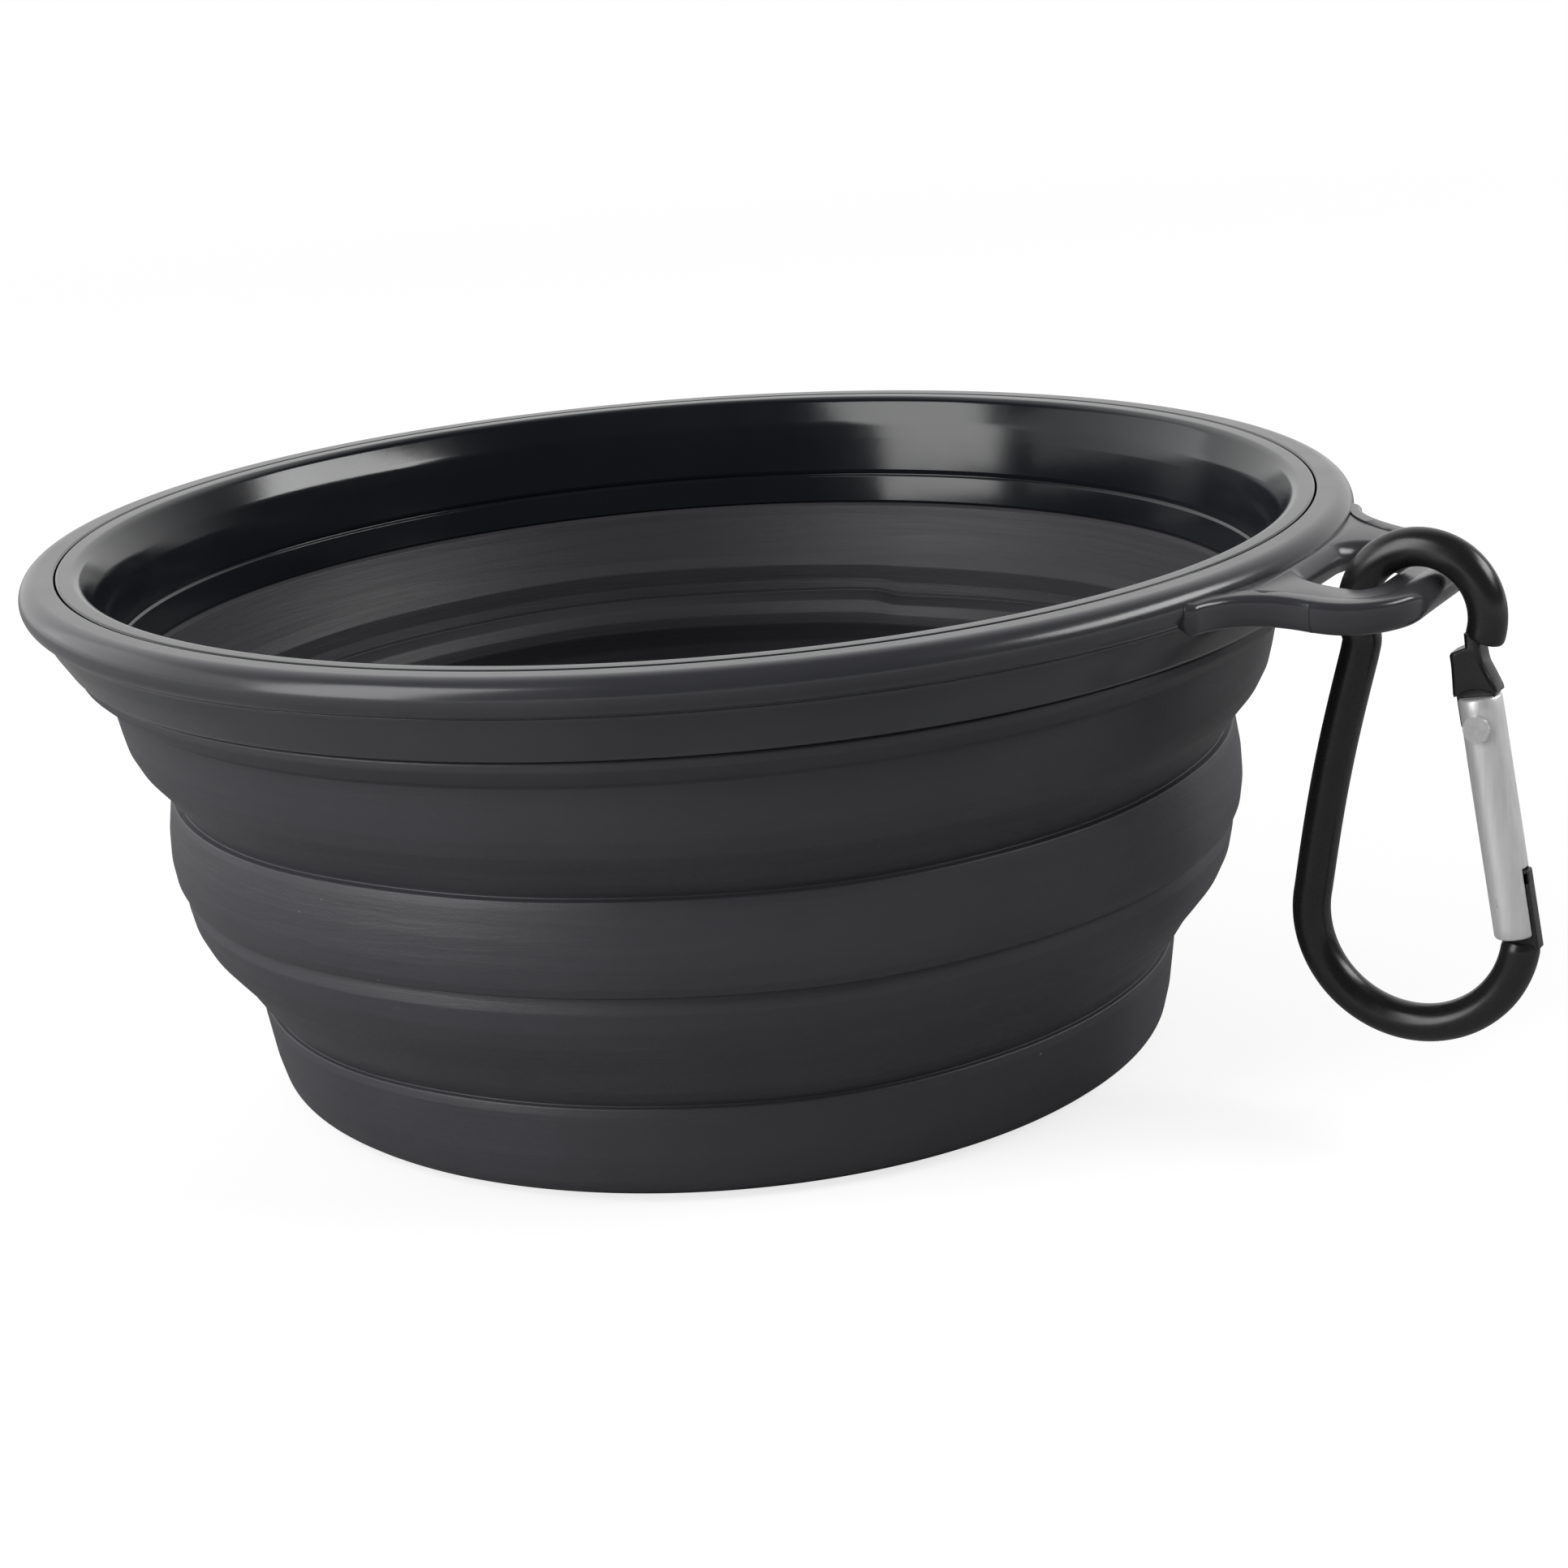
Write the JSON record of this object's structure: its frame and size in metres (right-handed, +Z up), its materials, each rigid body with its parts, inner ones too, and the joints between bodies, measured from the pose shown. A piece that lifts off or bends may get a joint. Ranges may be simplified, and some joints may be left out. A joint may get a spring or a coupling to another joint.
{
  "type": "collapsible silicone bowl",
  "caption": "Round collapsible bowl with a two-fold soft wall, a hard rim with a slotted hang tab, and a small spring-gate clip hanging from the tab.",
  "frame": {"origin": "centre of the base's underside, on the surface the open bowl stands on", "axes": "+Z up through the bowl's mouth, +X out through the middle of the hang tab, +Y completes a right-handed frame"},
  "size_m": [0.1511, 0.13, 0.0559],
  "materials": {
    "rim_plastic": "satin moulded, dark grey",
    "collar_plastic": "glossy moulded, near black",
    "silicone": "matte charcoal",
    "anodised_black": "glossy black anodised aluminium",
    "gate_metal": "satin natural",
    "pin_steel": "bright"
  },
  "bodies": {
    "rim": {"rim_outer_ring": "rim_plastic", "collar_ring": "collar_plastic", "upper_cuff": "silicone", "upper_fold": "silicone"},
    "middle": {"middle_band": "silicone", "lower_fold": "silicone"},
    "base": {"base_cup": "silicone"},
    "carabiner": {"carabiner_body": "anodised_black", "gate_rivet": "pin_steel"},
    "gate": {"carabiner_gate": "gate_metal", "latch_pin": "pin_steel", "gate_spring": "pin_steel"},
    "plunger": {"spring_plunger": "pin_steel"}
  },
  "joints": [
    {"name": "upper_fold_travel", "type": "slide", "parent": "rim", "child": "middle", "axis": [0, 0, 1], "range_m": [0, 0.019], "deforming": ["upper_fold"]},
    {"name": "lower_fold_travel", "type": "slide", "parent": "middle", "child": "base", "axis": [0, 0, 1], "range_m": [0, 0.019], "deforming": ["lower_fold"]},
    {"name": "carabiner_swing", "type": "hinge", "parent": "rim", "child": "carabiner", "pos_m": [0.0753, 0, 0.04819], "axis": [0, -1, 0], "range_deg": [-8, 120]},
    {"name": "gate_hinge", "type": "hinge", "parent": "carabiner", "child": "gate", "pos_m": [0.08089, 0, 0.03856], "axis": [0, 1, 0], "range_deg": [0, 28], "stiffness_Nm_per_rad": 0.002, "springref_deg": -14.32},
    {"name": "plunger_travel", "type": "slide", "parent": "gate", "child": "plunger", "axis": [0.1432, 0, -0.9897], "range_m": [0, 0.0005], "deforming": ["gate_spring"]}
  ],
  "couplings": [
    {"joint": "plunger_travel", "follows": "gate_hinge", "m_per_rad": 0.001023}
  ]
}
